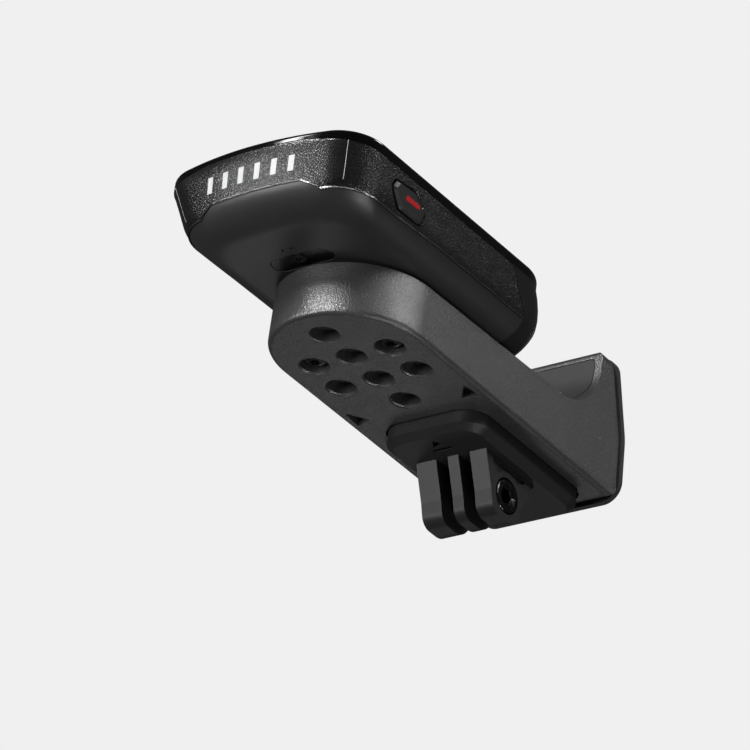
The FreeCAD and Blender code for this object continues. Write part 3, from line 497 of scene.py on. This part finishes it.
def rim_lines():
    """Lines of points along the lower shell's outer top edge."""
    shape = welded("lower_shell")
    rim = []
    for edge in shape.edges:
        if len(edge.link_faces) != 2:
            continue
        top, wall = sorted(edge.link_faces, key=lambda face: -face.normal.z)
        outward = (edge.verts[0].co + edge.verts[1].co) / 2 - LOCK
        outward.z = 0
        outer = wall.normal.dot(outward) > RIM_OUTWARD * outward.length
        if outer and top.normal.z > RIM_LEVEL and wall.normal.z < RIM_STEEP:
            rim.append(edge)
    lines = [spaced(line, LIP_STEP) for line in chains(rim)]
    shape.free()
    return [line for line in lines if length(line) > LIP_SHORTEST]


def seam_lip():
    """Rounded lip along the lower shell's top edge, where it meets the band."""
    ribbon = bmesh.new()
    sides = len(LIP_SECTION)
    for line in rim_lines():
        rings = []
        for index, place in enumerate(line):
            along = line[min(index + 1, len(line) - 1)] - line[max(index - 1, 0)]
            outward = Vector((along.y, -along.x, 0)).normalized()
            if outward.dot(place - LOCK) < 0:
                outward.negate()
            corners = [place + outward * out + Vector((0, 0, up)) for out, up in LIP_SECTION]
            rings.append([ribbon.verts.new(corner) for corner in corners])
        for first, second in zip(rings, rings[1:]):
            for corner in range(sides):
                after = (corner + 1) % sides
                ribbon.faces.new((first[corner], first[after], second[after], second[corner]))
        ribbon.faces.new(rings[0])
        ribbon.faces.new(rings[-1])
    bmesh.ops.recalc_face_normals(ribbon, faces=ribbon.faces)
    finish_shape("seam_lip", ribbon, "cap_plastic", "computer")


def parting_line_highlights(band):
    """Thin pale bead down each front corner of the band, on its joint: a painted highlight where the
    joint catches light.
    """
    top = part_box("upper_case")[1].z
    lines = []
    for side in (-1, 1):
        outward = Vector((side * math.sin(JOINT_TURN), -math.cos(JOINT_TURN), 0))
        foot = Vector((side * JOINT_PLACE[0], LOCK.y + JOINT_PLACE[1], top - JOINT_LOW))
        line = []
        for step in range(JOINT_POINTS):
            start = foot + Vector((0, 0, step * JOINT_STEP)) + outward * JOINT_CAST
            place = band.ray_cast(start, -outward)[0]
            if place is not None:
                line.append(place + outward * JOINT_LIFT)
        lines.append(line)
    # The bead's pale colour is a painted highlight along the joint, much lighter than the band it lies
    # on.
    beads("parting_line_highlights", lines, JOINT_R, "ceramic", "computer")


def printed(name, outlines, tree, direction, slot, body):
    """Flat shapes laid on a surface along a direction, from points drawn well in front of it."""
    shape = bmesh.new()
    for outline in outlines:
        shape.faces.new([shape.verts.new(point) for point in outline])
    bmesh.ops.triangulate(shape, faces=shape.faces)
    for turn in range(PRINT_CUTS):
        bmesh.ops.subdivide_edges(shape, edges=shape.edges, cuts=1, use_grid_fill=True)
    for vert in shape.verts:
        place, normal = tree.ray_cast(vert.co, direction)[:2]
        vert.co = place + normal * PRINT_LIFT
    finish_shape(name, shape, slot, body, smooth=True)


def front_print(band):
    """Plain row of slanted bars in the middle of the front band."""
    low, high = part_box("upper_case")
    base = high.z - BAR_LOW
    start = low.y - PRINT_CAST
    bars = []
    for index in range(BAR_COUNT):
        x = (index - (BAR_COUNT - 1) / 2) * BAR_PITCH - BAR_SHIFT
        top_x = x + BAR_SLANT
        bars.append([
            (x, start, base), (x + BAR_WIDE, start, base),
            (top_x + BAR_WIDE, start, base + BAR_TALL), (top_x, start, base + BAR_TALL),
        ])
    printed("front_print", bars, band, Vector((0, 1, 0)), "ceramic", "computer")


def round_point(centre, radius, turn, start):
    """Point at a part of a turn round the centre, moved back to the start of the casting."""
    angle = 2 * math.pi * turn
    return (centre.x + radius * math.cos(angle), start, centre.z + radius * math.sin(angle))


def key_marks():
    """Ring on the lap key and a triangle on the start key."""
    forward = Vector((0, -1, 0))
    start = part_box("lap_button")[1].y + PRINT_CAST
    lap = middle("lap_button")
    inner_r = MARK_R - MARK_LINE
    ring = []
    for index in range(MARK_SIDES):
        first, second = index / MARK_SIDES, (index + 1) / MARK_SIDES
        corners = ((first, MARK_R), (second, MARK_R), (second, inner_r), (first, inner_r))
        ring.append([round_point(lap, radius, turn, start) for turn, radius in corners])
    printed("lap_mark", ring, surface("lap_button"), forward, "ceramic", "lap_key")
    play = middle("start_button")
    triangle = [round_point(play, MARK_R, 1 / 2 + corner / 3, start) for corner in range(3)]
    printed("start_mark", [triangle], surface("start_button"), forward, "ceramic", "start_key")


def display_lines():
    """Lines that divide the display into blank fields."""
    low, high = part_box("display_panel")
    left, right = low.x + FIELD_EDGE, high.x - FIELD_EDGE
    front, rear = low.y + FIELD_EDGE, high.y - FIELD_EDGE
    outer_front, outer_rear = front - FIELD_LINE, rear + FIELD_LINE
    boxes = []
    for share in FIELD_ROWS:
        row = front + (rear - front) * share
        boxes.append((left, right, row, row + FIELD_LINE))
    boxes.append((-FIELD_LINE / 2, FIELD_LINE / 2, front, front + (rear - front) / 2))
    boxes.append((left, right, outer_front, front))
    boxes.append((left, right, rear, outer_rear))
    boxes.append((left - FIELD_LINE, left, outer_front, outer_rear))
    boxes.append((right, right + FIELD_LINE, outer_front, outer_rear))
    start = high.z + PRINT_CAST
    outlines = [[(a, c, start), (b, c, start), (b, d, start), (a, d, start)] for a, b, c, d in boxes]
    panel = surface("display_panel")
    printed("display_lines", outlines, panel, Vector((0, 0, -1)), "bezel_gloss", "computer")


def glass_border():
    """Dark border under the glass, open over the display."""
    shape = welded("cover_glass")
    upper = [face for face in shape.faces if face.normal.z > DOWNWARD]
    bmesh.ops.delete(shape, geom=upper, context="FACES")
    low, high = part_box("display_panel")
    margin = Vector((BORDER_INSET, BORDER_INSET, 0))
    low, high = low + margin, high - margin
    for corner in (low, high):
        for across in (Vector((1, 0, 0)), Vector((0, 1, 0))):
            every = [*shape.verts, *shape.edges, *shape.faces]
            bmesh.ops.bisect_plane(shape, geom=every, plane_co=corner, plane_no=across)
    window = []
    for face in shape.faces:
        place = face.calc_center_median()
        if low.x < place.x < high.x and low.y < place.y < high.y:
            window.append(face)
    bmesh.ops.delete(shape, geom=window, context="FACES")
    for vert in shape.verts:
        vert.co.z -= PRINT_LIFT
    finish_shape("glass_border", shape, "bezel_gloss", "computer")


band_surface = surface("upper_case")
seam_lip()
parting_line_highlights(band_surface)
front_print(band_surface)
key_marks()
display_lines()
glass_border()


# ---------------------------------------------------------------- studio

AMBIENT = 0.05
DOME_R = 3.2
DOME_GREY = 0.871
FLOOR_DROP = 1.5
FLOOR_R = 2.6
FLOOR_PAINT = (0.1, 0.1, 0.1, 1)
FLOOR_ROUGH = 0.7
FLOOR_GLOW = 0.75


def ambient():
    """Faint even light from all round."""
    world = bpy.data.worlds.new("studio")
    bpy.context.scene.world = world
    world.use_nodes = True
    background = world.node_tree.nodes["Background"]
    background.inputs["Color"].default_value = WHITE
    background.inputs["Strength"].default_value = AMBIENT


def studio_object(name, shape):
    """Object of the studio, made from a bmesh."""
    mesh = bpy.data.meshes.new(name)
    shape.to_mesh(mesh)
    shape.free()
    obj = bpy.data.objects.new(name, mesh)
    bpy.context.scene.collection.objects.link(obj)
    return obj


def dome():
    """Pale grey all round, which is seen and lights nothing."""
    shape = bmesh.new()
    bmesh.ops.create_uvsphere(shape, u_segments=48, v_segments=24, radius=DOME_R)
    backdrop = studio_object("backdrop", shape)
    material = bpy.data.materials.new("backdrop")
    material.use_nodes = True
    nodes = material.node_tree.nodes
    nodes.clear()
    output = nodes.new("ShaderNodeOutputMaterial")
    glow = add(material, "ShaderNodeEmission", Color=WHITE, Strength=DOME_GREY)
    link(material, glow.outputs["Emission"], output.inputs["Surface"])
    backdrop.data.materials.append(material)
    backdrop.visible_diffuse = False
    backdrop.visible_glossy = False
    backdrop.visible_transmission = False
    backdrop.visible_shadow = False
    backdrop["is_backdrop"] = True


def ground():
    """Pale floor far below the object, behind it when it is seen from above."""
    shape = bmesh.new()
    bmesh.ops.create_circle(shape, cap_ends=True, segments=96, radius=FLOOR_R)
    floor = studio_object("floor", shape)
    floor.location = (0, 0, cad_low.z - FLOOR_DROP)
    paint, shader = new_material("floor_paint")
    shader.inputs["Base Color"].default_value = FLOOR_PAINT
    shader.inputs["Roughness"].default_value = FLOOR_ROUGH
    shader.inputs["Emission Color"].default_value = WHITE
    shader.inputs["Emission Strength"].default_value = FLOOR_GLOW
    floor.data.materials.append(paint)
    floor.visible_diffuse = False
    floor.visible_glossy = False
    floor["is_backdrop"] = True


ambient()
dome()
ground()


# ---------------------------------------------------------------- lights

CENTRE = (cad_low + cad_high) / 2
LIGHT_DISTANCE = 1.2

# Pieces that some lights treat apart. Every other piece is matt.
APART = {
    "band": [NODES["upper_case"].name],
    "gloss": [NODES[node].name for node in ("top_bezel", "cover_glass")],
    "trim": ["seam_lip"],
    "steel": [NODES[node].name for node in ("cross_bolt", "adapter_screws", "bar_bolts", "cross_nut")],
}
ALL_BUT_GLOSS = ("matt", "band", "trim", "steel")
PLASTIC = ("matt", "band")

# name, azimuth, elevation, width, height, watts, groups that it lights
LIGHTS = [
    ("front", -7, 30, 0.45, 0.45, 18.5, ALL_BUT_GLOSS),
    ("low_front", -5, -15, 0.45, 0.45, 8.5, ("matt", "trim", "steel")),
    ("side_fill", 72, 30, 0.7, 0.45, 2.0, ALL_BUT_GLOSS),
    ("side", 103, 30, 0.45, 0.45, 3.0, ALL_BUT_GLOSS),
    ("rear_side", 122, 30, 0.45, 0.45, 0.5, ALL_BUT_GLOSS),
    ("under", 100, -60, 0.45, 0.45, 2.0, ALL_BUT_GLOSS),
    ("low_left", -28, -15, 0.3, 0.45, 6.4, PLASTIC),
    ("side_wide", 103, 30, 0.8, 0.45, 2.4, PLASTIC),
    ("side_low", 100, -15, 0.45, 0.45, 1.5, PLASTIC),
    ("under_side", 120, -60, 0.45, 0.45, 2.4, PLASTIC),
    ("trim_front", -25, 30, 1.5, 0.45, 9.0, ("trim",)),
    ("trim_corner", 35, 30, 0.9, 0.45, 4.0, ("trim",)),
    ("trim_side", 108, 30, 0.6, 0.45, 3.0, ("trim",)),
    ("steel_front", -20, 34, 0.4, 0.4, 6.0, ("steel",)),
    ("steel_side", 100, 40, 0.4, 0.4, 4.0, ("steel",)),
    ("steel_under", 110, -50, 0.4, 0.4, 2.0, ("steel",)),
    ("gloss_front", -25, 30, 0.1, 0.5, 3.2, ("gloss",)),
    ("gloss_side", 141, 55, 0.3, 0.2, 3.0, ("gloss",)),
    ("under_rear", -141, -32, 0.45, 0.45, 0.35, ("matt", "band", "trim")),
]


def way_out(azimuth, elevation):
    """Direction out of the object at an azimuth and elevation in degrees, from the front and level."""
    a, e = math.radians(azimuth), math.radians(elevation)
    return Vector((math.sin(a) * math.cos(e), -math.cos(a) * math.cos(e), math.sin(e)))


def light_groups():
    """Every piece in its group: one of those lit apart, or matt."""
    groups = {name: [] for name in ("matt", *APART)}
    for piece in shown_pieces():
        own = [name for name, members in APART.items() if piece.name in members]
        groups[own[0] if own else "matt"].append(piece)
    return groups


def softbox(groups, name, azimuth, elevation, width, height, watts, lit):
    """Area light out at an azimuth and elevation, turned to the object, for some groups only."""
    back = way_out(azimuth, elevation)
    data = bpy.data.lights.new(name, "AREA")
    data.shape = "RECTANGLE"
    data.size = width
    data.size_y = height
    data.energy = watts
    # With this sampling on, a light also shows in glossy pieces that it isn't linked to.
    data.cycles.use_multiple_importance_sampling = "gloss" in lit
    lamp = bpy.data.objects.new(name, data)
    lamp.location = CENTRE + back * LIGHT_DISTANCE
    lamp.rotation_mode = "QUATERNION"
    lamp.rotation_quaternion = back.to_track_quat("Z", "Y")
    lamp.visible_camera = False
    receivers = bpy.data.collections.new(name + "_receivers")
    for group in lit:
        for piece in groups[group]:
            receivers.objects.link(piece)
    lamp.light_linking.receiver_collection = receivers
    bpy.context.scene.collection.objects.link(lamp)


piece_groups = light_groups()
for light in LIGHTS:
    softbox(piece_groups, *light)


# ---------------------------------------------------------------- camera

VIEW_AZIMUTH = 39.39
VIEW_ELEVATION = -29.56
VIEW_ROLL = 8.21
VIEW_DISTANCE = 1.149
VIEW_TARGET = Vector((0.0, -0.0691, -0.0253))
VIEW_LENS = 240.0
SENSOR_WIDTH = 36.0
CLIP_NEAR = 0.05
CLIP_FAR = 20.0


def camera():
    """Camera that looks up at the object from in front and its +X side."""
    back = way_out(VIEW_AZIMUTH, VIEW_ELEVATION)
    roll = Quaternion((0, 0, 1), math.radians(VIEW_ROLL))
    data = bpy.data.cameras.new("camera")
    data.lens = VIEW_LENS
    data.sensor_width = SENSOR_WIDTH
    data.clip_start = CLIP_NEAR
    data.clip_end = CLIP_FAR
    eye = bpy.data.objects.new("camera", data)
    eye.location = VIEW_TARGET + back * VIEW_DISTANCE
    eye.rotation_mode = "QUATERNION"
    eye.rotation_quaternion = back.to_track_quat("Z", "Y") @ roll
    bpy.context.scene.collection.objects.link(eye)
    bpy.context.scene.camera = eye


camera()
